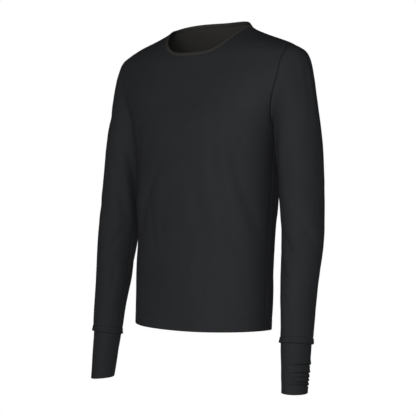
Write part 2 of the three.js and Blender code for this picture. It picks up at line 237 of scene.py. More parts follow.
class SectionCurves:
    """Smooth curves through the columns of a table of sections that run downwards."""

    STEP = 1.0

    def __init__(self, sections: Sequence[Any], ease: Callable[[Array], Array]) -> None:
        """Draws a curve through each column and eases it.

        Args:
            sections: Rows of one dataclass, the highest first.
            ease: How far each level is evened out with its neighbours.
        """
        rows = np.array([section.z for section in sections], float)
        self.levels = np.arange(rows[-1], rows[0] + self.STEP / 2, self.STEP)
        reach = ease(self.levels)
        self.columns = {
            column.name: self._eased(
                self._through(rows, np.array([getattr(s, column.name) for s in sections], float)), reach
            )
            for column in fields(sections[0])
            if column.name != "z"
        }

    def _through(self, rows: Array, values: Array) -> Array:
        """Draws a curve through some values that never swings past them.

        Args:
            rows: The levels of the values.
            values: One value for each level.

        Returns:
            The curve's value at each of the levels.
        """
        secants = np.diff(values) / np.diff(rows)
        before = np.concatenate((secants[:1], secants))
        after = np.concatenate((secants, secants[-1:]))
        both = before + after
        slopes = np.where(before * after > 0, 2 * before * after / np.where(both == 0, 1, both), 0)
        i = np.clip(np.searchsorted(-rows, -self.levels, side="right") - 1, 0, len(rows) - 2)
        span = rows[i + 1] - rows[i]
        t = np.clip((self.levels - rows[i]) / span, 0, 1)
        rise = t * t * (3 - 2 * t)
        bend = slopes[i] * (1 - t) - slopes[i + 1] * t
        return values[i] * (1 - rise) + values[i + 1] * rise + bend * span * t * (1 - t)

    def _eased(self, values: Array, reach: Array) -> Array:
        """Evens the values out, each over its own reach.

        Args:
            values: One value for each level.
            reach: How far each one is evened out, in millimetres.

        Returns:
            The new values.
        """
        margin = int(3 * reach.max() / self.STEP)
        longer = np.pad(values, margin, mode="reflect", reflect_type="odd")
        apart = (np.arange(len(longer)) - margin)[None, :] - np.arange(len(values))[:, None]
        weights = np.exp(-0.5 * (apart * self.STEP / reach[:, None]) ** 2)
        return weights @ longer / weights.sum(axis=1)

    def at(self, column: str, z: Array) -> Array:
        """The value of a column at some levels."""
        return np.interp(z, self.levels, self.columns[column])


class BodyForm:
    """The worn body of the top: a smooth form through its level sections."""

    def __init__(self) -> None:
        """Draws the curves, which are eased more where the sections lie further apart."""
        self.curves = SectionCurves(BODY_SECTIONS, lambda z: np.interp(z, *BODY_EASING))
        self.tip = float(self.curves.at("half_width", SHOULDER_TIP_Z))
        self.neck_corner = float(self.shoulder_level(NECK_HALF_WIDTH))

    def reach(self, z: Array, side: Side) -> Array:
        """How far the body reaches before or behind its side line."""
        return self.curves.at("front" if side is Side.FRONT else "back", z)

    def depth(self, x: Array, z: Array, side: Side) -> Array:
        """Works out how far the cloth lies from the side line.

        Args:
            x: Places across the body.
            z: Their levels.
            side: The front or the back.

        Returns:
            The distance at each place.
        """
        power = self.curves.at("square", z)
        across = np.minimum(np.abs(x) / self.curves.at("half_width", z), 1)
        return self.reach(z, side) * (1 - across**power) ** (1 / power)

    def on_form(self, x: Array, z: Array, side: Side) -> Array:
        """Sets places on the form, half a seam gap clear of the other side.

        Args:
            x: Places across the body.
            z: Their levels.
            side: The front or the back.

        Returns:
            The points.
        """
        depth = np.maximum(self.depth(x, z, side), SEAM_GAP / 2)
        return np.stack((x, self.curves.at("side", z) + side.value * depth, z), axis=-1)

    def normal(self, place: Array, side: Side) -> Array:
        """Works out which way is out of the form.

        Args:
            place: Points on the form.
            side: The front or the back.

        Returns:
            A direction for each point.
        """

        def field(moved: Array) -> Array:
            """Grows outwards from 1 on the form.

            Args:
                moved: Points near the form.

            Returns:
                A value for each point.
            """
            x, y, z = np.moveaxis(moved, -1, 0)
            power = self.curves.at("square", z)
            across = np.abs(x) / self.curves.at("half_width", z)
            deep = np.abs(y - self.curves.at("side", z)) / self.reach(z, side)
            return across**power + deep**power

        return unit(np.stack([field(place + step) - field(place - step) for step in np.eye(3)], axis=-1))

    def shoulder_level(self, x: Array) -> Array:
        """The level of the shoulder line at a distance x from the middle."""
        levels = np.linspace(SHOULDER_TIP_Z - 2, 8, 400)
        return np.interp(x, self.curves.at("half_width", levels)[::-1], levels[::-1])

    def neck_level(self, x: Array, side: Side) -> Array:
        """Works out the level of the neck seam.

        Args:
            x: Distances from the middle.
            side: The front or the back.

        Returns:
            A level for each distance.
        """
        share = 1 - np.minimum(np.abs(x) / NECK_HALF_WIDTH, 1) ** NECK_ROUNDNESS
        middle = -NECK_FRONT_DROP if side is Side.FRONT else NECK_BACK_RISE
        return middle * share + self.neck_corner * (1 - share)

    def armhole(self, turn: Array) -> Array:
        """Sets points on the left armhole seam.

        Args:
            turn: 0 is the shoulder tip, pi the underarm, and the back is below 0.

        Returns:
            The points.
        """
        turn = wrapped(np.asarray(turn, float))
        z = (SHOULDER_TIP_Z + UNDERARM_Z) / 2 + (SHOULDER_TIP_Z - UNDERARM_Z) / 2 * np.cos(turn)
        front = turn >= 0
        sign = np.where(front, Side.FRONT.value, Side.BACK.value)
        offset = np.where(front, ARMHOLE_FRONT_REACH, ARMHOLE_BACK_REACH) * np.abs(np.sin(turn))
        reach = np.where(front, self.reach(z, Side.FRONT), self.reach(z, Side.BACK))
        power = self.curves.at("square", z)
        x = self.curves.at("half_width", z) * (1 - np.minimum(offset / reach, 1) ** power) ** (1 / power)
        return np.stack((x, self.curves.at("side", z) + sign * offset, z), axis=-1)


class ArmForm:
    """The left arm of the top, from the armhole seam to the end of the cuff."""

    def __init__(self, body: BodyForm) -> None:
        """Draws the arm's curves.

        Args:
            body: The form whose armhole the arm starts from.
        """
        self.body = body
        self.curves = SectionCurves(ARM_SECTIONS, lambda z: np.full_like(z, ARM_EASING))

    def direction(self, z: Array) -> Array:
        """Works out the way the arm's line runs, downwards.

        Args:
            z: Levels.

        Returns:
            A direction for each level.
        """
        step = 4.0
        ahead, behind = np.asarray(z) - step, np.asarray(z) + step
        across = self.curves.at("x", ahead) - self.curves.at("x", behind)
        forward = self.curves.at("y", ahead) - self.curves.at("y", behind)
        return unit(np.stack((across, forward, np.full_like(across, -2 * step)), axis=-1))

    def tube(self, z: Array, turn: Array, more: float = 0.0) -> Array:
        """Points round the arm's line.

        Args:
            z: Levels, which broadcast with turn.
            turn: 0 is the outermost line and a quarter turn the front.
            more: How far the points stand outside the sections.

        Returns:
            The points, in the left arm's place.
        """
        z, turn = np.broadcast_arrays(np.asarray(z, float), np.asarray(turn, float))
        along = self.direction(z)
        out = unit(np.array((1.0, 0.0, 0.0)) - along * along[..., :1])
        forward = unit(np.cross(out, along))
        forward = forward * -np.sign(forward[..., 1:2])
        twist = np.radians(self.curves.at("turn", z))
        across = (self.curves.at("across", z) + more) * np.cos(turn - twist)
        deep = (self.curves.at("deep", z) + more) * np.sin(turn - twist)
        centre = np.stack((self.curves.at("x", z), self.curves.at("y", z), z), axis=-1)
        aside = (across * np.cos(twist) - deep * np.sin(twist))[..., None]
        ahead = (across * np.sin(twist) + deep * np.cos(twist))[..., None]
        return centre + out * aside + forward * ahead

    def _leaving(self, turn: Array) -> Array:
        """Works out how the body's surface runs on past the armhole seam, towards the arm.

        Args:
            turn: The turn round the seam, as in the armhole.

        Returns:
            A direction for each turn.
        """
        step = 0.02
        seam = self.body.armhole(turn)
        tangent = self.body.armhole(turn + step) - self.body.armhole(turn - step)
        front = self.body.normal(seam, Side.FRONT)
        normal = np.where((wrapped(turn) >= 0)[..., None], front, self.body.normal(seam, Side.BACK))
        start = unit(np.cross(tangent, normal))
        middle = np.array((self.body.tip, 0.0, (SHOULDER_TIP_Z + UNDERARM_Z) / 2))
        away = np.sum(start * (middle - seam), axis=-1, keepdims=True) < 0
        return np.where(away, -start, start)

    def cap(self, share: Array, turn: Array) -> Array:
        """Sets points on the sleeve's cap.

        Args:
            share: 0 is its edge at the armhole and 1 is where the tube starts.
            turn: The turn round the arm.

        Returns:
            The points, one row for each share.
        """
        low = (np.sin(turn / 2) ** 2)[..., None]
        leaving = self._leaving(turn)
        aside = leaving * (1 - low) + np.array((1.0, 0.0, 0.0)) * low
        start = self.body.armhole(turn) + unit(aside) * ARMHOLE_GAP
        along = self.direction(np.array(SLEEVE_TUBE_Z))
        way = self.tube(SLEEVE_TUBE_Z, turn, SLEEVE_OVER_CUFF) - start
        out = way - along * (way @ along)[..., None]
        surface = leaving * np.linalg.norm(out, axis=-1, keepdims=True)
        out = out * low + surface * (1 - low)
        down = way - out
        bend = np.pi / 2 * np.asarray(share)[..., None, None]
        gone_out = np.sin(bend) ** CAP_FULLNESS_OUT
        gone_down = (1 - np.cos(bend)) ** CAP_FULLNESS_DOWN
        return start + out * gone_out + down * gone_down


def bell(distance: Array, width: float) -> Array:
    """A soft bump that is 1 at a distance of 0 and fades to both sides."""
    return np.exp(-((distance / width) ** 2))


def fading(distance: Array, reach: float) -> Array:
    """A value that is 1 at a distance of 0 and fades as the distance grows."""
    return np.exp(-distance / reach)


def stepping(distance: Array, width: float) -> Array:
    """A value that steps softly from 1 down to 0 where the distance passes 0."""
    return (1 - np.tanh(distance / width)) / 2


def rolled(distance: Array, radius: float) -> Array:
    """Works out how far cloth that rolls over a sewn edge lies below its own surface.

    Args:
        distance: How far each point lies from the edge.
        radius: The radius of the roll.

    Returns:
        A depth for each point.
    """
    left = np.clip(radius - distance, 0, radius)
    return radius - np.sqrt(radius**2 - left**2)


@dataclass(frozen=True)
class Crease:
    """A soft trough pressed into the cloth, with a lower ridge along one side of it.

    Its ends are places on the piece: x and z as seen from the front on the body, and millimetres round the
    arm with z on a sleeve. The bow is how far its middle lies aside of the straight line, and the peak is
    how far along it is deepest.
    """

    start: tuple[float, float]
    end: tuple[float, float]
    width: float
    depth: float
    bow: float = 0.0
    ridge: float = 0.35
    peak: float = 0.5

    def height(self, across: Array, z: Array) -> Array:
        """How far the crease lifts the cloth at some places, below 0 in the trough.

        Args:
            across: The first coordinate of the places, in millimetres.
            z: Their levels.

        Returns:
            A height for each place.
        """
        way = np.subtract(self.end, self.start)
        length = float(np.hypot(*way))
        right, up = across - self.start[0], z - self.start[1]
        along = (right * way[0] + up * way[1]) / length**2
        inside = np.clip(along, 0, 1)
        aside = (right * way[1] - up * way[0]) / length - self.bow * 4 * inside * (1 - inside)
        fade = np.sin(np.pi * inside ** (math.log(0.5) / math.log(self.peak)))
        trough = bell(aside, self.width)
        beside = bell(aside - 2 * self.width, 1.2 * self.width)
        return self.depth * fade * (self.ridge * beside - trough)


@dataclass(frozen=True)
class Swell:
    """A gentle unevenness of cloth: a sum of sine waves that run through the room in chosen directions."""

    seed: int
    height: float
    shortest: float
    longest: float
    waves: int = 18

    def at(self, place: Array) -> Array:
        """Works out how far the waves lift the cloth.

        Args:
            place: Points of the cloth.

        Returns:
            A height for each point.
        """
        draw = np.random.default_rng(self.seed)
        total = np.zeros(place.shape[:-1])
        for _ in range(self.waves):
            heading = unit(draw.normal(size=3))
            phase = draw.uniform(0, 2 * np.pi)
            total += np.sin(2 * np.pi * place @ heading / draw.uniform(self.shortest, self.longest) + phase)
        return self.height * total / math.sqrt(self.waves / 2)


BROAD_SWELL = Swell(seed=11, height=0.45, shortest=70, longest=170)
FINE_SWELL = Swell(seed=23, height=0.10, shortest=24, longest=48)
PUCKER = Swell(seed=37, height=0.16, shortest=7, longest=15)
PUCKER_REACH = 6.0
HEM_SWELL = Swell(seed=5, height=1.0, shortest=110, longest=220, waves=8)
GATHER = Swell(seed=53, height=0.22, shortest=9, longest=18)


@dataclass(frozen=True)
class ClothGrid:
    """A cut piece as rows and columns of points on its outer face, in millimetres.

    The normals point out of the garment, also on cloth that is turned in or up. The spots are the places
    that creases and other relief are set out on.
    """

    place: Array
    normal: Array
    spot: Array

    @staticmethod
    def over(place: Array, spot: Array) -> "ClothGrid":
        """A grid whose normals are worked out from its own points.

        Args:
            place: Points, rows by columns by 3.
            spot: Places on the piece, rows by columns by 2.

        Returns:
            The grid.
        """
        down = np.gradient(place, axis=0)
        across = np.gradient(place, axis=1)
        return ClothGrid(place, unit(np.cross(across, down)), spot)

    def _arranged(self, arrange: Callable[[Array], Array]) -> "ClothGrid":
        """The grid with each of its arrays rearranged."""
        return ClothGrid(arrange(self.place), arrange(self.normal), arrange(self.spot))

    def _faced(self, edge: Edge) -> "ClothGrid":
        """Turns the grid so that an edge is its first row.

        Args:
            edge: The edge.

        Returns:
            The turned grid.
        """
        step = -1 if edge.last else 1
        return self._arranged(lambda a: (a.swapaxes(0, 1) if edge.upright else a)[::step])

    def _restored(self, edge: Edge) -> "ClothGrid":
        """Turns the grid back to how it lay before an edge was made its first row.

        Args:
            edge: The edge.

        Returns:
            The grid.
        """
        step = -1 if edge.last else 1
        return self._arranged(lambda a: a[::step].swapaxes(0, 1) if edge.upright else a[::step])

    def distance(self, edge: Edge) -> Array:
        """Measures along the cloth from an edge.

        Args:
            edge: The edge.

        Returns:
            A length for each point, in millimetres.
        """
        along = lengths_along(self._faced(edge).place, 0)
        return ClothGrid(along, along, along)._restored(edge).place

    def fine_edge(self, edge: Edge, clearance: float = 0.0) -> "ClothGrid":
        """The grid with fine lines along an edge, so that the cloth can roll over it.

        Args:
            edge: The edge.
            clearance: How far the edge is cut back.

        Returns:
            The new grid.
        """
        grid = self._faced(edge)
        away = np.linalg.norm(grid.place - grid.place[0], axis=-1)
        kept = int(np.argmax(np.median(away, axis=1) > FINE_LINES_MARGIN * FINE_LINES[-1]))
        shares = (np.array(FINE_LINES)[:, None] + clearance) / np.maximum(away[kept], 1e-6)
        shares = np.minimum(shares, FINE_LINES_LAST_SHARE)[..., None]

        def finer(a: Array) -> Array:
            """Puts the fine lines in place of the first few.

            Args:
                a: One of the grid's arrays.

            Returns:
                The array with the new lines.
            """
            return np.concatenate((a[0] * (1 - shares) + a[kept] * shares, a[kept:]))

        return grid._arranged(finer)._restored(edge)

    def lifted(self, height: Array) -> "ClothGrid":
        """The grid with each point moved out by its height."""
        return replace(self, place=self.place + self.normal * height[..., None])

    def turned_in(
        self, edge: Edge, way: Array | None = None, depths: Sequence[float] = SEAM_ALLOWANCE
    ) -> "ClothGrid":
        """The grid with its seam allowance turned in at an edge.

        Args:
            edge: The sewn edge.
            way: The direction of the allowance at each point of the edge, or None for straight in.
            depths: How far in each added line of points lies.

        Returns:
            The new grid.
        """
        grid = self._faced(edge)
        inward = -grid.normal[0] if way is None else way
        closing = unit(grid.place[0] - grid.place[len(FINE_LINES)]) * (SEAM_CLOSING if edge.upright else 0.0)
        added = np.stack([grid.place[0] + inward * depth + closing for depth in reversed(depths)])
        count = len(added)
        return ClothGrid(
            np.concatenate((added, grid.place)),
            np.concatenate((np.repeat(grid.normal[:1], count, axis=0), grid.normal)),
            np.concatenate((np.repeat(grid.spot[:1], count, axis=0), grid.spot)),
        )._restored(edge)

    def folded_back(
        self,
        edge: Edge,
        length: float,
        thickness: float,
        inside: Array | None = None,
        drawn_in: float = 0.0,
    ) -> "ClothGrid":
        """The grid with cloth folded back up inside it at an edge, as at a hem.

        Args:
            edge: The folded edge.
            length: How far the cloth runs back.
            thickness: How far apart the two outer faces lie.
            inside: The points that the inner cloth follows, or None for the grid's own.
            drawn_in: How far the inner cloth keeps from the grid's sides.

        Returns:
            The new grid.
        """
        grid = self._faced(edge)
        follow = grid.place if inside is None else ClothGrid(inside, inside, inside)._faced(edge).place
        steps = np.radians(FOLD_STEPS)
        radius = thickness / 2
        beyond = unit(grid.place[0] - grid.place[1])
        bend = [
            grid.place[0]
            + grid.normal[0] * (radius * math.cos(step) - radius)
            + beyond * radius * math.sin(step)
            for step in steps
        ]
        back = np.median(lengths_along(grid.place, 0), axis=1) <= length
        back[0] = False
        layer = (follow - grid.normal * thickness)[back][::-1]
        inner = np.concatenate((layer, np.stack(bend)))
        if drawn_in:
            across = lengths_along(inner, 1)
            ends = np.clip(1 - np.stack((across, across[:, -1:] - across)) / DRAWN_IN_REACH, 0, 1)
            turned = np.concatenate((np.ones(len(layer)), (1 - np.cos(steps)) / 2))[:, None]
            shift = drawn_in * turned * (ends[0] - ends[1])
            inner = inner + unit(np.gradient(inner, axis=1)) * shift[..., None]
        place = np.concatenate((inner, grid.place))
        source = np.concatenate((np.flatnonzero(back)[::-1], np.zeros(len(steps), int)))
        return ClothGrid(
            place,
            np.concatenate((grid.normal[source], grid.normal)),
            np.concatenate((grid.spot[source], grid.spot)),
        )._restored(edge)

    def mirrored(self) -> "ClothGrid":
        """Mirrors the cloth to the wearer's other side, still facing out.

        Returns:
            The mirrored grid.
        """
        flip = np.array((-1.0, 1.0, 1.0))
        return ClothGrid(
            (self.place * flip)[:, ::-1], (self.normal * flip)[:, ::-1], self.spot[:, ::-1]
        )

    def chart(self) -> Array:
        """Lays the points on the flat cloth, for the knit to follow.

        Returns:
            A place across and along the cloth for each point, in metres.
        """
        across = lengths_along(self.place, 1)
        across = across - across[:, across.shape[1] // 2][:, None]
        return np.stack((across, lengths_along(self.place, 0)), axis=-1) * MM

    def area(self) -> float:
        """The area of the cloth, in square metres."""
        along, across = np.diff(self.place, axis=0)[:, :-1], np.diff(self.place, axis=1)[:-1]
        return float(np.linalg.norm(np.cross(along, across), axis=-1).sum()) * MM**2

    def piece(self, name: str, finishes: "Finishes", closed: bool = False) -> bpy.types.Object:
        """Makes the cloth as a mesh object with a thickness.

        Args:
            name: The object's name.
            finishes: The finishes of the cloth's two sides.
            closed: True where the first and the last column are one seam.

        Returns:
            The object.
        """
        rows, columns = self.place.shape[:2]
        sheet = bmesh.new()
        bmesh.ops.create_grid(sheet, x_segments=columns - 1, y_segments=rows - 1, size=1.0)
        mesh = bpy.data.meshes.new(name)
        sheet.to_mesh(mesh)
        sheet.free()
        flat = np.empty(len(mesh.vertices) * 3, np.float32)
        mesh.vertices.foreach_get("co", flat)
        flat = (flat.reshape(-1, 3) + 1) / 2
        column = np.rint(flat[:, 0] * (columns - 1)).astype(int)
        row = np.rint(flat[:, 1] * (rows - 1)).astype(int)
        mesh.vertices.foreach_set("co", (self.place[row, column] * MM).astype(np.float32).ravel())
        corners = np.empty(len(mesh.loops), np.int32)
        mesh.loops.foreach_get("vertex_index", corners)
        chart = self.chart()[row[corners], column[corners]]
        mesh.uv_layers.new(name="Cloth").data.foreach_set("uv", chart.astype(np.float32).ravel())
        if closed:
            joined = bmesh.new()
            joined.from_mesh(mesh)
            bmesh.ops.remove_doubles(joined, verts=[v for v in joined.verts if v.is_boundary], dist=1e-6)
            joined.to_mesh(mesh)
            joined.free()
        mesh.polygons.foreach_set("use_smooth", np.ones(len(mesh.polygons), bool))
        for finish in (finishes.right, finishes.wrong):
            mesh.materials.append(finish)
        cloth = linked(name, mesh)
        thickness = cloth.modifiers.new("Cloth thickness", "SOLIDIFY")
        thickness.thickness = JERSEY_THICKNESS * MM
        thickness.offset = -1.0
        thickness.material_offset = 1
        return cloth


@dataclass(frozen=True)
class Cut:
    """The flat size of a cut piece in metres, seam and hem allowances included, and its area."""

    width: float
    length: float
    area: float | None = None


def report(name: str, grid: ClothGrid) -> None:
    """Logs how fine a piece of cloth is, its area, and its widest row and longest column.

    Args:
        name: The piece's name.
        grid: Its points.
    """
    across, along = np.ptp(grid.chart()[..., 0], axis=1), np.ptp(grid.chart()[..., 1], axis=0)
    log.info(
        "%s: %s points, cloth %.4f m2, widest row %.3f m, longest column %.3f m",
        name,
        grid.place.shape[:2],
        grid.area(),
        across.max(),
        along.max(),
    )


def declare(
    cloth: bpy.types.Object,
    node: str,
    stitches: Sequence[bpy.types.Object] = (),
) -> None:
    """Hangs a piece of cloth and its rows of stitches on the body that it rides on, and hides the solid that
    it replaces.

    Args:
        cloth: The piece.
        node: The solid that it replaces.
        stitches: The rows of stitches on it.
    """
    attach(cloth, BODY)
    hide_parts(node)
    for row in stitches:
        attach(row, BODY)


def linear(colour: str) -> tuple[float, float, float, float]:
    """Turns an sRGB hex colour to linear.

    Args:
        colour: The colour, such as #303134.

    Returns:
        Red, green, blue and alpha.
    """
    values = [int(colour[i : i + 2], 16) / 255 for i in (1, 3, 5)]
    red, green, blue = (v / 12.92 if v <= 0.04045 else ((v + 0.055) / 1.055) ** 2.4 for v in values)
    return red, green, blue, 1.0


def add_node(tree: bpy.types.NodeTree, kind: str, inputs: dict[Any, Any], **settings: Any) -> bpy.types.Node:
    """Adds a node with its settings and links.

    Args:
        tree: The node tree.
        kind: The node's type.
        inputs: A value or an output socket for each input.
        settings: The node's own properties.

    Returns:
        The node.
    """
    node = tree.nodes.new(kind)
    for name, value in settings.items():
        setattr(node, name, value)
    for name, value in inputs.items():
        if isinstance(value, bpy.types.NodeSocket):
            tree.links.new(value, node.inputs[name])
        else:
            node.inputs[name].default_value = value
    return node


def new_tree(name: str) -> tuple[bpy.types.Material, bpy.types.NodeTree]:
    """Makes a material with an empty node tree.

    Args:
        name: The material's name.

    Returns:
        The material and its tree.
    """
    material = bpy.data.materials.new(name)
    material.use_nodes = True
    material.node_tree.nodes.clear()
    return material, material.node_tree


@dataclass(frozen=True)
class KnitFinish:
    """Fine stretch jersey knitted from matt filament yarn.

    The face shows columns of small V-shaped loops. Real ones are 0.6 mm apart, too fine to show, so they
    are drawn coarser. It is a soft matt black, a little bluish on the loop tops, with painted shade in the
    hollows between the loops.
    """

    name: str
    yarn: str
    gap: str
    wale: float = 1.1
    course: float = 0.9
    loop_slant: float = 1.3
    loop_depth: float = 0.22
    relief: float = 0.10
    relief_strength: float = 0.55
    fibre_scale: float = 900.0
    lint: tuple[float, float] = (0.82, 1.18)
    patch_scale: float = 14.0
    shade: tuple[float, float] = (0.9, 1.1)
    roughness: float = 0.78
    specular: float = 0.10

    def material(self) -> bpy.types.Material:
        """Makes the finish as a material.

        Returns:
            The material.
        """
        material, tree = new_tree(self.name)
        chart = add_node(tree, "ShaderNodeUVMap", {}, uv_map="Cloth").outputs["UV"]
        flat = add_node(tree, "ShaderNodeSeparateXYZ", {0: chart})
        made = {"across": flat.outputs["X"], "up": flat.outputs["Y"]}
        steps = (
            ("wale", "MULTIPLY", "across", 1 / (self.wale * MM)),
            ("course", "MULTIPLY", "up", 1 / (self.course * MM)),
            ("place", "FRACT", "wale"),
            ("off", "SUBTRACT", "place", 0.5),
            ("aside", "ABSOLUTE", "off"),
            ("slant", "MULTIPLY_ADD", "aside", self.loop_slant, "course"),
            ("angle", "MULTIPLY", "slant", 2 * math.pi),
            ("loop", "COSINE", "angle"),
            ("bend", "MULTIPLY", "aside", math.pi),
            ("top", "COSINE", "bend"),
            ("loops", "MULTIPLY_ADD", "loop", self.loop_depth, 1 - self.loop_depth),
            ("height", "MULTIPLY", "top", "loops"),
        )
        for step, operation, *values in steps:
            inputs = {i: made.get(value, value) for i, value in enumerate(values)}
            made[step] = add_node(tree, "ShaderNodeMath", inputs, operation=operation).outputs[0]
        place = add_node(tree, "ShaderNodeTexCoord", {}).outputs["Object"]
        tints = []
        for scale, detail, (low, high) in (
            (self.patch_scale, 3.0, self.shade),
            (self.fibre_scale, 2.0, self.lint),
        ):
            noise = add_node(tree, "ShaderNodeTexNoise", {"Vector": place, "Scale": scale, "Detail": detail})
            inputs = {"Value": noise.outputs["Fac"], "To Min": low, "To Max": high}
            tints.append(add_node(tree, "ShaderNodeMapRange", inputs).outputs[0])
        tint = add_node(tree, "ShaderNodeMath", dict(enumerate(tints)), operation="MULTIPLY")
        # Painted shade: the gap colour darkens the hollows between the loops, mixed in by the knit's height,
        # as shade falls there.
        inputs = {"Factor": made["height"], "A": linear(self.gap), "B": linear(self.yarn)}
        knit = add_node(tree, "ShaderNodeMix", inputs, data_type="RGBA")
        inputs = {"Factor": 1.0, "A": knit.outputs["Result"], "B": tint.outputs[0]}
        colour = add_node(tree, "ShaderNodeMix", inputs, data_type="RGBA", blend_type="MULTIPLY")
        inputs = {"Height": made["height"], "Strength": self.relief_strength, "Distance": self.relief * MM}
        bump = add_node(tree, "ShaderNodeBump", inputs)
        shader = add_node(
            tree,
            "ShaderNodeBsdfPrincipled",
            {
                "Base Color": colour.outputs["Result"],
                "Normal": bump.outputs["Normal"],
                "Roughness": self.roughness,
                "Specular IOR Level": self.specular,
            },
        )
        add_node(tree, "ShaderNodeOutputMaterial", {"Surface": shader.outputs[0]})
        return material


@dataclass(frozen=True)
class BrushedFinish:
    """The wrong side of thermal jersey, brushed into a short soft nap.

    It is flat and paler than the face, with faint clumps: partly the brushed nap's own colour and partly
    painted light, set lighter so that the inside of the garment seen through the neck opening looks lit. Its
    roughness is that of felt.
    """

    name: str
    nap: str
    roots: str
    clump: float = 2.5
    relief: float = 0.3
    relief_strength: float = 0.5
    roughness: float = 0.95
    specular: float = 0.05
    sheen: float = 0.1

    def material(self) -> bpy.types.Material:
        """Makes the finish as a material.

        Returns:
            The material.
        """
        material, tree = new_tree(self.name)
        place = add_node(tree, "ShaderNodeTexCoord", {}).outputs["Object"]
        clumps = add_node(
            tree, "ShaderNodeTexNoise", {"Vector": place, "Scale": 1 / (self.clump * MM), "Detail": 5.0}
        ).outputs["Fac"]
        inputs = {"Factor": clumps, "A": linear(self.roots), "B": linear(self.nap)}
        colour = add_node(tree, "ShaderNodeMix", inputs, data_type="RGBA")
        inputs = {"Height": clumps, "Strength": self.relief_strength, "Distance": self.relief * MM}
        bump = add_node(tree, "ShaderNodeBump", inputs)
        shader = add_node(
            tree,
            "ShaderNodeBsdfPrincipled",
            {
                "Base Color": colour.outputs["Result"],
                "Normal": bump.outputs["Normal"],
                "Roughness": self.roughness,
                "Specular IOR Level": self.specular,
                "Sheen Weight": self.sheen,
            },
        )
        add_node(tree, "ShaderNodeOutputMaterial", {"Surface": shader.outputs[0]})
        return material


@dataclass(frozen=True)
class ThreadFinish:
    """Spun polyester sewing thread: a twisted ply with a dull shine, a shade off the cloth."""

    name: str
    colour: str
    twist: float = 0.35
    relief: float = 0.05
    relief_strength: float = 0.4
    roughness: float = 0.5

    def material(self) -> bpy.types.Material:
        """Makes the finish as a material.

        Returns:
            The material.
        """
        material, tree = new_tree(self.name)
        place = add_node(tree, "ShaderNodeTexCoord", {}).outputs["Object"]
        # A wave is 0.31 of the texture's unit long, so one turn of the ply comes out about 0.66 mm.
        inputs = {"Vector": place, "Scale": 1 / (self.twist * MM) / 6, "Distortion": 1.5}
        ply = add_node(tree, "ShaderNodeTexWave", inputs)
        height = ply.outputs["Fac"]
        inputs = {"Height": height, "Strength": self.relief_strength, "Distance": self.relief * MM}
        bump = add_node(tree, "ShaderNodeBump", inputs)
        inputs = {
            "Base Color": linear(self.colour),
            "Roughness": self.roughness,
            "Normal": bump.outputs["Normal"],
        }
        shader = add_node(tree, "ShaderNodeBsdfPrincipled", inputs)
        add_node(tree, "ShaderNodeOutputMaterial", {"Surface": shader.outputs[0]})
        return material


@dataclass(frozen=True)
class Finishes:
    """The finishes of one piece: the cloth's right side, its wrong side and the sewing thread."""

    right: bpy.types.Material
    wrong: bpy.types.Material
    thread: bpy.types.Material


@dataclass(frozen=True)
class StitchRow:
    """Rows of lockstitch as small raised grains of thread."""

    pitch: float = 3.0
    length: float = 2.4
    width: float = 0.5
    height: float = 0.4

    def build(
        self, name: str, lines: Sequence[tuple[Array, Array]], thread: bpy.types.Material
    ) -> bpy.types.Object:
        """Lays stitches along some lines.

        Args:
            name: The object's name.
            lines: The points of each line and the cloth's normals there.
            thread: The finish of the thread.

        Returns:
            The object.
        """
        made = bmesh.new()
        half = Matrix.Diagonal((self.length / 2 * MM, self.width / 2 * MM, self.height / 2 * MM, 1.0))
        for points, normals in lines:
            along = lengths_along(points, 0)
            stations = np.arange(self.pitch / 2, along[-1] - self.pitch / 2, self.pitch)
            ends = [
                np.stack([np.interp(stations + shift, along, points[:, k]) for k in range(3)], axis=-1)
                for shift in (-0.5, 0.5)
            ]
            ups = np.stack([np.interp(stations, along, normals[:, k]) for k in range(3)], axis=-1)
            for before, after, up in zip(ends[0], ends[1], ups):
                way = Vector(after - before).normalized()
                side = Vector(up).cross(way).normalized()
                turn = Matrix((way, side, way.cross(side))).transposed().to_4x4()
                turn.translation = Vector((before + after) / 2) * MM
                bmesh.ops.create_icosphere(made, subdivisions=1, radius=1.0, matrix=turn @ half)
        for face in made.faces:
            face.smooth = True
        mesh = bpy.data.meshes.new(name)
        made.to_mesh(mesh)
        made.free()
        mesh.materials.append(thread)
        return linked(name, mesh)


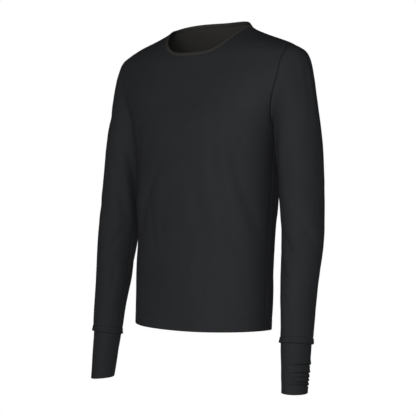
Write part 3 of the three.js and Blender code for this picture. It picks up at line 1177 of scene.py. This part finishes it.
@dataclass
class BodyPanel:
    """The front or the back: one piece from the hem up to the armholes, shoulder seams and neck seam."""

    form: BodyForm
    side: Side
    creases: tuple[Crease, ...]
    cut: Cut
    neck_columns: int = 28
    shoulder_columns: int = 26
    neck_margin: float = 0.5
    hem_rows: int = 32
    body_rows: int = 118
    armhole_rows: int = 58
    hem_dip: float = 5.0
    hem_tilt: float = 5.0
    hem_ease: float = 60.0
    hem_ease_power: float = 1.5
    hem_turn_up: float = 21.0
    hem_stitch_lines: tuple[float, float] = (18.0, 23.0)
    hem_fold_thickness: float = 1.7
    hem_drawn_in: float = 1.5
    hem_proud: float = 0.3
    hem_edge_width: float = 1.6
    hem_swell_reach: float = 55.0
    stitch_dip_width: float = 0.9
    neck_seam_dip: float = 0.35
    neck_seam_dip_width: float = 2.5
    neck_corner_reach: float = 5.0
    allowance_lean: float = 0.1
    stitching: StitchRow = StitchRow()

    def _shares(self) -> Array:
        """Spaces the panel's columns.

        Returns:
            Their places, as shares of the shoulder tip's distance from the middle.
        """
        neck_share = NECK_HALF_WIDTH / self.form.tip
        neck = neck_share * np.sin(np.pi / 2 * np.arange(1, self.neck_columns + 1) / self.neck_columns)
        start = math.asin(neck_share)
        steps = np.arange(1, self.shoulder_columns + 1) / self.shoulder_columns
        half = np.concatenate((neck, np.sin(start + (np.pi / 2 - start) * steps)))
        return np.concatenate((-half[::-1], (0.0,), half))

    def _flat_grid(self) -> ClothGrid:
        """Lays the panel on the form, before any relief.

        Returns:
            The panel.
        """
        hem_top = HEM_Z + self.hem_rows
        below = np.concatenate(
            (
                np.arange(HEM_Z, hem_top),
                np.linspace(hem_top, UNDERARM_Z, self.body_rows, endpoint=False),
            )
        )
        turn = np.pi * (1 - np.arange(self.armhole_rows + 1) / self.armhole_rows)
        seam = self.form.armhole(-self.side.value * turn)
        levels = np.concatenate((below, seam[:, 2]))[:, None]
        share = self._shares()[None, :]
        reach = np.abs(share) * self.form.tip
        neck = self.form.neck_level(reach, self.side)
        top = np.where(reach < NECK_HALF_WIDTH, neck, self.form.shoulder_level(reach))
        climb = np.maximum((levels - UNDERARM_Z) / (SHOULDER_TIP_Z - UNDERARM_Z), 0)
        dip = np.maximum(1 - (levels - HEM_Z) / self.hem_ease, 0) ** self.hem_ease_power
        z = np.minimum(levels, UNDERARM_Z) + (top - UNDERARM_Z) * climb
        z = z - dip * (self.hem_dip * (1 - share**2) + self.hem_tilt * share)
        armhole = np.broadcast_to(seam[:, :1], (len(seam), z.shape[1]))
        x = share * np.concatenate((self.form.curves.at("half_width", z[: len(below)]), armhole))
        place = self.form.on_form(x, z, self.side)
        if self.side is Side.BACK:
            place = place[:, ::-1]
        return ClothGrid(place, self.form.normal(place, self.side), place[..., (0, 2)])

    def _relief(self, grid: ClothGrid, neck: Array) -> Array:
        """How far the creases, seams and hem lift the cloth.

        Args:
            grid: The panel.
            neck: True for each column that ends at the neck seam.

        Returns:
            A height for each point.
        """
        height = BROAD_SWELL.at(grid.place) + FINE_SWELL.at(grid.place)
        for crease in self.creases:
            height += crease.height(grid.spot[..., 0], grid.spot[..., 1])
        hem = grid.distance(Edge.FIRST_ROW)
        top = grid.distance(Edge.LAST_ROW)
        sides = np.minimum(grid.distance(Edge.FIRST_COLUMN), grid.distance(Edge.LAST_COLUMN))
        shoulder = np.where(neck[None, :], FAR, top)
        sewn = np.minimum(np.minimum(sides, top), np.abs(hem - sum(self.hem_stitch_lines) / 2))
        ease = 1 - fading(np.minimum(sides, top), SEAM_EASE_REACH)
        height = height * ease + PUCKER.at(grid.place) * fading(sewn, PUCKER_REACH)
        height += HEM_SWELL.at(grid.place) * fading(hem, self.hem_swell_reach) * ease
        height += self.hem_proud * stepping(hem - self.hem_turn_up, self.hem_edge_width)
        for line in self.hem_stitch_lines:
            height -= STITCH_DIP * bell(hem - line, self.stitch_dip_width)
        height -= self.neck_seam_dip * bell(top, self.neck_seam_dip_width) * neck[None, :]
        height -= SEAM_VALLEY * bell(np.minimum(sides, shoulder), SEAM_VALLEY_REACH)
        return height - rolled(np.minimum(sides, shoulder), SEAM_ROLL)

    def build(self, finishes: Finishes) -> None:
        """Makes the panel with its turned-up hem, seam allowances and hem stitches.

        Args:
            finishes: The finishes of the cloth and its thread.
        """
        name = self.side.name.lower()
        grid = self._flat_grid()
        for edge in Edge:
            grid = grid.fine_edge(edge)
        neck = np.abs(grid.place[-1, :, 0]) < NECK_HALF_WIDTH - self.neck_margin
        grid = grid.lifted(self._relief(grid, neck))
        hem = np.median(grid.distance(Edge.FIRST_ROW), axis=1)
        rows = [int(np.argmin(np.abs(hem - line))) for line in self.hem_stitch_lines]
        stitches = self.stitching.build(
            f"{name}_hem_stitches", [(grid.place[row], grid.normal[row]) for row in rows], finishes.thread
        )
        grid = grid.folded_back(
            Edge.FIRST_ROW, self.hem_turn_up, self.hem_fold_thickness, drawn_in=self.hem_drawn_in
        )
        up = unit(grid.place[-1] - grid.place[-2]) - self.allowance_lean * grid.normal[-1]
        inside = np.clip((NECK_HALF_WIDTH - np.abs(grid.place[-1, :, :1])) / self.neck_corner_reach, 0, 1)
        grid = grid.turned_in(Edge.LAST_ROW, up * inside - grid.normal[-1] * (1 - inside))
        grid = grid.turned_in(Edge.FIRST_COLUMN).turned_in(Edge.LAST_COLUMN)
        cloth = grid.piece(f"{name}_cloth", finishes)
        declare(cloth, name, [stitches])
        report(name, grid)


@dataclass
class Sleeve:
    """A set-in sleeve from the armhole seam to its end over the cuff, with its seam under the arm."""

    form: ArmForm
    hand: Hand
    creases: tuple[Crease, ...]
    cut: Cut
    columns: int = 104
    cap_rows: int = 44
    tube_rows: int = 128
    band_rows: int = 30
    hem_z: float = -665.0
    band: float = 12.5
    band_proud: float = 1.3
    band_edge_width: float = 1.4
    band_dip: float = 0.5
    band_dip_above: float = 1.2
    band_dip_width: float = 1.1
    band_row_margin: float = 5.0
    end_proud: float = 1.3
    end_proud_line: float = 3.0
    end_proud_width: float = 3.5
    end_allowance: tuple[float, float] = (0.8, 1.7)
    end_roll: float = 1.45
    end_ease_reach: float = 10.0
    gather_reach: float = 14.0
    cap_easing_passes: int = 16
    cap_crowding: float = 1.25
    swell_shifts: tuple[float, float] = (400.0, 90.0)

    def _flat_grid(self) -> ClothGrid:
        """Lays the left sleeve on the form, before any relief.

        Returns:
            The sleeve.
        """
        turn = np.linspace(-np.pi, np.pi, self.columns + 1)
        shares = (np.arange(self.cap_rows) / self.cap_rows) ** self.cap_crowding
        band = self.hem_z + self.band + self.band_row_margin
        levels = np.concatenate(
            (
                np.linspace(SLEEVE_TUBE_Z, band, self.tube_rows, endpoint=False),
                np.linspace(band, self.hem_z, self.band_rows),
            )
        )
        tube = self.form.tube(levels[:, None], turn[None, :], SLEEVE_OVER_CUFF)
        place = np.concatenate((self.form.cap(shares, turn), tube))
        for _ in range(self.cap_easing_passes):
            place[1:-1] = (place[:-2] + 2 * place[1:-1] + place[2:]) / 4
        around = np.broadcast_to(turn * ARM_RADIUS, place.shape[:2])
        return ClothGrid.over(place, np.stack((around, place[..., 2]), axis=-1))

    def _relief(self, grid: ClothGrid) -> Array:
        """Works out how far the creases and seams lift the cloth.

        Args:
            grid: The sleeve.

        Returns:
            A height for each point.
        """
        broad, fine = self.swell_shifts
        height = BROAD_SWELL.at(grid.place * self.hand.value + broad) + FINE_SWELL.at(grid.place + fine)
        for crease in self.creases:
            for round_again in (-1, 0, 1):
                around = grid.spot[..., 0] + round_again * 2 * np.pi * ARM_RADIUS
                height += crease.height(around, grid.spot[..., 1])
        top, end = grid.distance(Edge.FIRST_ROW), grid.distance(Edge.LAST_ROW)
        sides = np.minimum(grid.distance(Edge.FIRST_COLUMN), grid.distance(Edge.LAST_COLUMN))
        ease = (1 - fading(top, SEAM_EASE_REACH)) * (1 - fading(end, self.end_ease_reach))
        sewn = np.minimum(np.minimum(sides, top), end)
        height = height * ease + PUCKER.at(grid.place) * fading(sewn, PUCKER_REACH)
        height += GATHER.at(grid.place) * fading(end, self.gather_reach)
        height += self.band_proud * stepping(end - self.band, self.band_edge_width)
        height -= self.band_dip * bell(end - self.band - self.band_dip_above, self.band_dip_width)
        height += self.end_proud * bell(end - self.end_proud_line, self.end_proud_width)
        seam = np.minimum(sides, top)
        height -= SEAM_VALLEY * bell(seam, SEAM_VALLEY_REACH) + rolled(seam, SEAM_ROLL)
        return height - rolled(end, self.end_roll)

    def build(self, finishes: Finishes) -> None:
        """Makes the sleeve with its rolled end and turned-in seams.

        Args:
            finishes: The finishes of the cloth and its thread.
        """
        name = f"sleeve_{self.hand.name.lower()}"
        grid = self._flat_grid()
        for edge in Edge:
            grid = grid.fine_edge(edge, SEAM_GAP / 2 if edge.upright else 0.0)
        grid = grid.lifted(self._relief(grid)).turned_in(Edge.FIRST_ROW)
        grid = grid.turned_in(Edge.LAST_ROW, depths=self.end_allowance)
        grid = grid.turned_in(Edge.FIRST_COLUMN).turned_in(Edge.LAST_COLUMN)
        if self.hand is Hand.RIGHT:
            grid = grid.mirrored()
        cloth = grid.piece(f"{name}_cloth", finishes)
        declare(cloth, name)
        report(name, grid)


@dataclass(frozen=True)
class Tuck:
    """A tuck across the outer half of a cuff: the cloth puffs above its line and steps in below it.

    The share is how far down the cuff its line lies, and the reach how far up the puff runs.
    """

    share: float
    height: float
    reach: float
    wave: float = 0.8
    tilt: float = 0.0
    phase: float = 0.0


@dataclass
class Cuff:
    """A long cuff of doubled jersey, folded at its lower end, whose top lies inside the sleeve's end."""

    form: ArmForm
    hand: Hand
    tucks: tuple[Tuck, ...]
    cut: Cut
    columns: int = 88
    row_step: float = 0.75
    layers_apart: float = 3.4
    tuck_middle: float = math.radians(10)
    tuck_half_arc: float = math.radians(72)
    seam_dip: float = 0.5
    seam_dip_width: float = 0.9
    rim_drop: float = 6.2
    rim_rise: float = 4.6
    rim_turn: float = math.radians(54)
    rim_reach: float = 16.0
    gather_reach: float = 16.0
    swell_share: float = 1.6
    swell_ease: float = 8.0
    swell_shift: float = 30.0
    tuck_roll: float = 1.5
    tuck_under: float = 0.6
    tuck_under_roll: float = 2.4
    tuck_under_reach: float = 7.0
    tuck_dip: float = 1.7
    tuck_dip_width: float = 1.7
    tuck_waves: float = 2.6

    @property
    def top(self) -> float:
        """The level of the cuff's top, inside the sleeve."""
        return SLEEVE_END_Z + CUFF_LAP

    def _tuck_relief(self, turn: Array, z: Array) -> Array:
        """Works out how far the tucks lift the cloth.

        Args:
            turn: The turn round the arm.
            z: The level.

        Returns:
            A height for each point.
        """
        aside = wrapped(turn - self.tuck_middle)
        fade = np.sqrt(np.clip(np.cos(np.clip(aside / self.tuck_half_arc, -1, 1) * np.pi / 2), 0, 1))
        height = np.zeros(np.broadcast(turn, z).shape)
        for tuck in self.tucks:
            line = self.top + (CUFF_END_Z - self.top) * tuck.share
            line = line + tuck.wave * np.sin(self.tuck_waves * aside + tuck.phase) + tuck.tilt * aside
            sides = (
                (z - line, 1.0, self.tuck_roll, tuck.reach),
                (line - z, self.tuck_under, self.tuck_under_roll, self.tuck_under_reach),
            )
            for away, share, roll, reach in sides:
                over = 1 - bell(np.maximum(away, 0), roll)
                puff = np.cos(np.clip(away / reach, 0, 1) * np.pi / 2) ** 2
                height = height + tuck.height * share * over * puff * fade
            height = height - self.tuck_dip * bell(z - line, self.tuck_dip_width) * fade
        return height

    def build(self, finishes: Finishes) -> None:
        """Makes the cuff as one tube of cloth, folded back up inside itself.

        Args:
            finishes: The finishes of the cloth and its thread.
        """
        name = f"cuff_{self.hand.name.lower()}"
        turn = np.linspace(-np.pi, np.pi, self.columns + 1)[None, :]
        rows = int((self.top - CUFF_END_Z) / self.row_step)
        levels = np.linspace(self.top, CUFF_END_Z, rows)[:, None]
        place = self.form.tube(levels, turn)
        slanted = np.maximum(1 - (levels - CUFF_END_Z) / self.rim_reach, 0) ** 2
        drop = self.rim_drop * (1 + np.cos(turn - self.rim_turn)) / 2 - self.rim_rise
        place[..., 2] -= slanted * drop
        around = np.broadcast_to(turn * ARM_RADIUS, place.shape[:2])
        plain = ClothGrid.over(place, np.stack((around, place[..., 2]), axis=-1))
        seam = np.minimum(plain.distance(Edge.FIRST_COLUMN), plain.distance(Edge.LAST_COLUMN))
        end = plain.distance(Edge.LAST_ROW)
        height = FINE_SWELL.at(place + self.swell_shift * self.hand.value) * self.swell_share
        height = height * (1 - fading(end, self.swell_ease)) + self._tuck_relief(turn, levels)
        height -= self.seam_dip * bell(seam, self.seam_dip_width)
        height += GATHER.at(place) * fading(self.top - levels, self.gather_reach)
        grid = plain.lifted(height)
        grid = grid.folded_back(Edge.LAST_ROW, self.top - CUFF_END_Z, self.layers_apart, plain.place)
        if self.hand is Hand.RIGHT:
            grid = grid.mirrored()
        cloth = grid.piece(f"{name}_cloth", finishes, closed=True)
        declare(cloth, name)
        report(name, grid)


@dataclass
class NeckBand:
    """The narrow folded band that binds the neck edge, with one row of edge stitching."""

    form: BodyForm
    cut: Cut
    columns: int = 300
    rows: int = 34
    first_turn: float = math.radians(-68)
    last_turn: float = math.radians(250)
    flatness: float = 0.72
    width: float = 8.0
    thickness: float = 3.0
    lap: float = 0.35
    easing_passes: int = 60
    stitch_line: float = 1.7
    dip_width: float = 0.8
    ripple: float = 0.6
    ripple_reach: float = 3.0
    path_points: int = 4000
    stitching: StitchRow = StitchRow(pitch=2.6, length=2.0, width=0.42, height=0.34)

    def build(self, finishes: Finishes) -> None:
        """Makes the band as one folded strip round the neck.

        Args:
            finishes: The finishes of the cloth and its thread.
        """
        steps = np.linspace(0, 2 * np.pi, self.path_points)
        x = NECK_HALF_WIDTH * np.cos(steps)
        front = steps <= np.pi
        levels = [self.form.neck_level(x, side) for side in Side]
        z = np.where(front, levels[0], levels[1])
        seams = [self.form.on_form(x, z, side) for side in Side]
        normals = [self.form.normal(seam, side) for seam, side in zip(seams, Side)]
        path = np.where(front[:, None], seams[0], seams[1])
        out = np.where(front[:, None], normals[0], normals[1])
        length = lengths_along(path, 0)
        stations = np.linspace(length[-1], 0, self.columns + 1)
        path, out = (
            np.stack([np.interp(stations, length, a[:, k]) for k in range(3)], axis=-1) for a in (path, out)
        )
        for _ in range(self.easing_passes):
            ring = out[:-1]
            ring = (np.roll(ring, 1, axis=0) + 2 * ring + np.roll(ring, -1, axis=0)) / 4
            out = np.concatenate((ring, ring[:1]))
        ring = path[:-1]
        along = np.roll(ring, -1, axis=0) - np.roll(ring, 1, axis=0)
        along = unit(np.concatenate((along, along[:1])))
        out = unit(out - along * np.sum(out * along, axis=-1, keepdims=True))
        up = np.cross(along, out)
        up = unit(up * np.sign(up[:, 2:3]))
        turn = np.linspace(self.first_turn, self.last_turn, self.rows)
        round_out = np.sign(np.cos(turn)) * np.abs(np.cos(turn)) ** self.flatness
        round_up = np.sign(np.sin(turn)) * np.abs(np.sin(turn)) ** self.flatness
        aside = -JERSEY_THICKNESS + self.thickness / 2 * round_out
        above = self.width / 2 * (1 + round_up) - self.lap
        place = path + out * aside[:, None, None] + up * above[:, None, None]
        grid = ClothGrid.over(place, place[..., :2])
        ripple = PUCKER.at(place) * fading(above, self.ripple_reach)[:, None] * self.ripple
        stitch = int(np.argmin(np.abs(above - self.stitch_line) + 10 * (aside < 0)))
        dip = STITCH_DIP * bell(above - self.stitch_line, self.dip_width) * (aside > 0)
        grid = grid.lifted(ripple - dip[:, None])
        stitches = self.stitching.build(
            "neck_band_stitches", [(grid.place[stitch], grid.normal[stitch])], finishes.thread
        )
        cloth = grid.piece("neck_band_cloth", finishes, closed=True)
        declare(cloth, "neck_band", [stitches])
        report("neck_band", grid)


def round_arm(turns: tuple[float, float], levels: tuple[float, float], **sizes: float) -> Crease:
    """A crease on a sleeve.

    Args:
        turns: The turn round the arm at each end, in degrees: 0 outermost and 90 the front.
        levels: The level of each end.
        sizes: The crease's other sizes.

    Returns:
        The crease.
    """
    around = [math.radians(turn) * ARM_RADIUS for turn in turns]
    return Crease((around[0], levels[0]), (around[1], levels[1]), **sizes)


FRONT_CREASES = (
    Crease((114, -200), (164, -480), width=9, depth=3.4, bow=3, ridge=0.5, peak=0.4),
    Crease((79, -205), (100, -430), width=8, depth=2.2, bow=3, ridge=0.45, peak=0.55),
    Crease((98, -330), (142, -515), width=9, depth=2.8, bow=3, ridge=0.5, peak=0.45),
    Crease((130, -215), (146, -275), width=5, depth=1.5, ridge=0.6),
    Crease((143, -345), (163, -470), width=6, depth=2.0, bow=-2, ridge=0.6),
    Crease((25, -300), (78, -500), width=17, depth=2.2, bow=-5),
    Crease((62, -490), (70, -585), width=10, depth=1.6, bow=3, ridge=0.5),
    Crease((112, -450), (128, -590), width=11, depth=1.9, bow=4),
    Crease((-75, -300), (-125, -480), width=15, depth=2.6, bow=5),
    Crease((-40, -275), (-112, -440), width=9, depth=1.8, bow=8, ridge=0.5),
    Crease((-96, -315), (-58, -500), width=8, depth=1.6, bow=-4, ridge=0.5),
    Crease((-24, -330), (-38, -470), width=10, depth=1.2, bow=3),
    Crease((-120, -190), (-140, -330), width=10, depth=2.6, ridge=0.5),
    Crease((-98, -600), (-60, -628), width=9, depth=1.8, ridge=0.6),
    Crease((-150, -420), (-120, -560), width=10, depth=1.8, bow=-4),
    Crease((-55, -150), (60, -172), width=22, depth=1.3, bow=-10, ridge=0.2),
)
BACK_CREASES = (
    Crease((112, -205), (72, -440), width=11, depth=3.2, bow=-5, ridge=0.5, peak=0.4),
    Crease((-112, -208), (-62, -460), width=10, depth=3.0, bow=6, ridge=0.5, peak=0.45),
    Crease((20, -380), (60, -560), width=17, depth=2.2),
    Crease((-30, -400), (-75, -540), width=17, depth=2.4, bow=-4),
    Crease((136, -225), (106, -340), width=7, depth=1.9, ridge=0.6),
    Crease((-140, -235), (-112, -350), width=8, depth=2.0, bow=3, ridge=0.5),
    Crease((64, -300), (22, -430), width=9, depth=1.7, bow=-6),
    Crease((-150, -370), (-116, -510), width=9, depth=1.8, bow=4, ridge=0.5),
    Crease((148, -400), (118, -530), width=10, depth=1.8, bow=-4),
    Crease((-15, -250), (10, -400), width=12, depth=1.2, bow=5),
    Crease((88, -560), (110, -622), width=9, depth=1.5, ridge=0.5),
    Crease((-60, -95), (70, -112), width=20, depth=1.3, bow=8, ridge=0.2),
)
LEFT_SLEEVE_CREASES = (
    round_arm((112, 150), (-190, -340), width=8, depth=2.6, bow=4, ridge=0.5),
    round_arm((95, 55), (-300, -430), width=9, depth=1.5, bow=-6),
    round_arm((140, 70), (-425, -505), width=8, depth=2.6, bow=7, ridge=0.5),
    round_arm((150, 95), (-470, -555), width=7, depth=2.1, bow=5, ridge=0.5),
    round_arm((66, 12), (-395, -462), width=9, depth=1.5, bow=-6),
    round_arm((-70, -35), (-415, -525), width=10, depth=2.1, bow=6, ridge=0.5),
    round_arm((110, 76), (-560, -652), width=8, depth=1.5, bow=4),
    round_arm((-120, -88), (-230, -370), width=10, depth=2.3, bow=-5, ridge=0.5),
    round_arm((12, -15), (-535, -645), width=10, depth=1.2, bow=4),
    round_arm((-4, 14), (-215, -380), width=11, depth=1.2, bow=3),
    round_arm((-150, -95), (-480, -575), width=9, depth=1.9, bow=-5),
)
RIGHT_SLEEVE_CREASES = (
    round_arm((92, 205), (-180, -462), width=9, depth=3.6, bow=-5, ridge=0.6, peak=0.6),
    round_arm((75, 152), (-245, -420), width=8, depth=2.2, bow=-4, ridge=0.5),
    round_arm((-25, 130), (-140, -262), width=11, depth=1.7, bow=-8),
    round_arm((158, 92), (-425, -520), width=8, depth=2.5, bow=6, ridge=0.5),
    round_arm((62, 22), (-350, -455), width=10, depth=1.6, bow=6),
    round_arm((138, 118), (-480, -610), width=8, depth=1.9, bow=-4),
    round_arm((-80, -42), (-400, -515), width=10, depth=2.2, bow=-5, ridge=0.5),
    round_arm((-120, -92), (-240, -360), width=10, depth=2.0, bow=5, ridge=0.5),
    round_arm((85, 58), (-575, -655), width=8, depth=1.4, bow=-4),
    round_arm((-150, -100), (-470, -570), width=9, depth=1.8, bow=4),
)
LEFT_CUFF_TUCKS = (
    Tuck(share=0.485, height=3.2, reach=17, wave=1.6, phase=2.2),
    Tuck(share=0.635, height=3.0, reach=13, wave=1.3, tilt=-2.0, phase=0.6),
    Tuck(share=0.715, height=2.0, reach=7, wave=0.9, phase=1.9),
    Tuck(share=0.79, height=2.3, reach=7, wave=1.0, phase=4.0),
    Tuck(share=0.855, height=2.6, reach=7, wave=0.8, phase=1.0),
)


@dataclass(frozen=True)
class SoftLight:
    """A large soft light that faces the garment."""

    name: str
    azimuth: float
    elevation: float
    distance: float
    size: float
    watts: float
    colour: str = "#ffffff"

    def build(self, target: Vector) -> None:
        """Hangs the light.

        Args:
            target: The point that it faces.
        """
        data = bpy.data.lights.new(self.name, "AREA")
        data.shape = "DISK"
        data.size = self.size
        data.energy = self.watts
        data.color = linear(self.colour)[:3]
        lamp = linked(self.name, data)
        lamp.visible_camera = False
        azimuth, elevation = math.radians(self.azimuth), math.radians(self.elevation)
        level = Vector((math.sin(azimuth), -math.cos(azimuth), 0.0))
        way = level * math.cos(elevation) + Vector((0.0, 0.0, math.sin(elevation)))
        lamp.location = target + way * self.distance
        lamp.rotation_euler = (-way).to_track_quat("-Z", "Y").to_euler()


@dataclass(frozen=True)
class Studio:
    """The camera at the photograph's angle, soft lights, a pale floor and a white surround."""

    azimuth: float = 36.0
    distance: float = 3.43
    eye_level: float = -0.3865
    aside: float = -0.0083
    focal_pixels: float = 1578.0
    frame_pixels: float = 416.0
    floor_level: float = -1.45
    floor_radius: float = 3.0
    surround: float = 0.28
    above: float = 0.02
    lights: tuple[SoftLight, ...] = (
        SoftLight("key", azimuth=24, elevation=13, distance=2.4, size=1.5, watts=41),
        SoftLight("fill", azimuth=70, elevation=6, distance=2.2, size=1.4, watts=5),
        SoftLight("back", azimuth=216, elevation=4, distance=3.0, size=1.8, watts=46),
    )

    def _camera(self) -> None:
        """Places the camera level with the middle of the garment."""
        turn = math.radians(self.azimuth)
        right = Vector((math.cos(turn), math.sin(turn), 0.0))
        back = Vector((math.sin(turn), -math.cos(turn), 0.0))
        data = bpy.data.cameras.new("camera")
        data.sensor_width = 36.0
        data.lens = self.focal_pixels * data.sensor_width / self.frame_pixels
        camera = linked("camera", data)
        camera.location = back * self.distance + right * self.aside + Vector((0.0, 0.0, self.eye_level))
        camera.rotation_euler = (math.pi / 2, 0.0, turn)
        bpy.context.scene.camera = camera

    def _floor(self) -> None:
        """Lays a round pale floor well below the garment."""
        disc = bmesh.new()
        bmesh.ops.create_circle(disc, cap_ends=True, segments=96, radius=self.floor_radius)
        bmesh.ops.translate(disc, verts=disc.verts, vec=(0.0, 0.0, self.floor_level))
        mesh = bpy.data.meshes.new("floor")
        disc.to_mesh(mesh)
        disc.free()
        material, tree = new_tree("Matt white paper floor")
        shader = add_node(
            tree, "ShaderNodeBsdfPrincipled", {"Base Color": linear("#f4f4f2"), "Roughness": 0.9}
        )
        add_node(tree, "ShaderNodeOutputMaterial", {"Surface": shader.outputs[0]})
        mesh.materials.append(material)
        linked("floor", mesh)

    def _surround(self) -> None:
        """Makes the surround white to look at, and dimmer as a light, so that the edges stay dark."""
        world = bpy.data.worlds.new("surround")
        world.use_nodes = True
        tree = world.node_tree
        tree.nodes.clear()
        way = add_node(tree, "ShaderNodeTexCoord", {}).outputs["Generated"]
        rise = add_node(tree, "ShaderNodeSeparateXYZ", {0: way}).outputs["Z"]
        glow = add_node(
            tree,
            "ShaderNodeMapRange",
            {"Value": rise, "From Min": -0.1, "From Max": 0.7, "To Min": self.surround, "To Max": self.above},
        )
        seen = add_node(tree, "ShaderNodeLightPath", {}).outputs["Is Camera Ray"]
        strength = add_node(
            tree, "ShaderNodeMath", {0: seen, 1: glow.outputs[0]}, operation="MAXIMUM"
        )
        light = add_node(
            tree, "ShaderNodeBackground", {"Color": linear("#ffffff"), "Strength": strength.outputs[0]}
        )
        add_node(tree, "ShaderNodeOutputWorld", {"Surface": light.outputs[0]})
        bpy.context.scene.world = world

    def build(self) -> None:
        """Sets up the studio."""
        bpy.context.scene.view_settings.view_transform = "Standard"
        self._camera()
        self._floor()
        self._surround()
        for light in self.lights:
            light.build(Vector((0.0, 0.0, self.eye_level)))


def main() -> None:
    """Builds the studio and dresses the garment, piece by piece."""
    logging.basicConfig(level=logging.INFO, format="%(message)s")
    Studio().build()
    # Each knit's gap colour is painted shade in the hollows between its loops.
    knits = (
        KnitFinish("Black stretch jersey, fine gauge", yarn="#303134", gap="#1a1b1d"),
        KnitFinish("Black stretch jersey, doubled", yarn="#2f3032", gap="#1a1b1d", wale=1.0),
        # Painted light: the binding's yarn and gap are painted paler than the body's, standing in for the
        # light the band catches where it faces up and out.
        KnitFinish("Black jersey binding, painted lighter", yarn="#3d3c39", gap="#242322", wale=0.9),
    )
    # The nap colour is partly the brushed nap's own paler tone and partly painted light, set lighter so that
    # the inside seen through the neck opening looks lit.
    wrong = BrushedFinish("Brushed wrong side of jersey", nap="#3b3a38", roots="#262524").material()
    thread = ThreadFinish("Black polyester sewing thread", colour="#232427").material()
    jersey, doubled, binding = (Finishes(knit.material(), wrong, thread) for knit in knits)
    body = BodyForm()
    arm = ArmForm(body)
    pieces = (
        (BodyPanel(body, Side.FRONT, FRONT_CREASES, Cut(0.49, 0.72, 0.30)), jersey),
        (BodyPanel(body, Side.BACK, BACK_CREASES, Cut(0.49, 0.73, 0.32)), jersey),
        (Sleeve(arm, Hand.LEFT, LEFT_SLEEVE_CREASES, Cut(0.34, 0.66, 0.17)), jersey),
        (Sleeve(arm, Hand.RIGHT, RIGHT_SLEEVE_CREASES, Cut(0.34, 0.66, 0.17)), jersey),
        (Cuff(arm, Hand.LEFT, LEFT_CUFF_TUCKS, Cut(0.206, 0.247, 0.042)), doubled),
        (Cuff(arm, Hand.RIGHT, (), Cut(0.205, 0.237, 0.042), row_step=1.5), doubled),
        (NeckBand(body, Cut(0.59, 0.018)), binding),
    )
    for part, finishes in pieces:
        part.build(finishes)


if __name__ == "__main__":
    main()
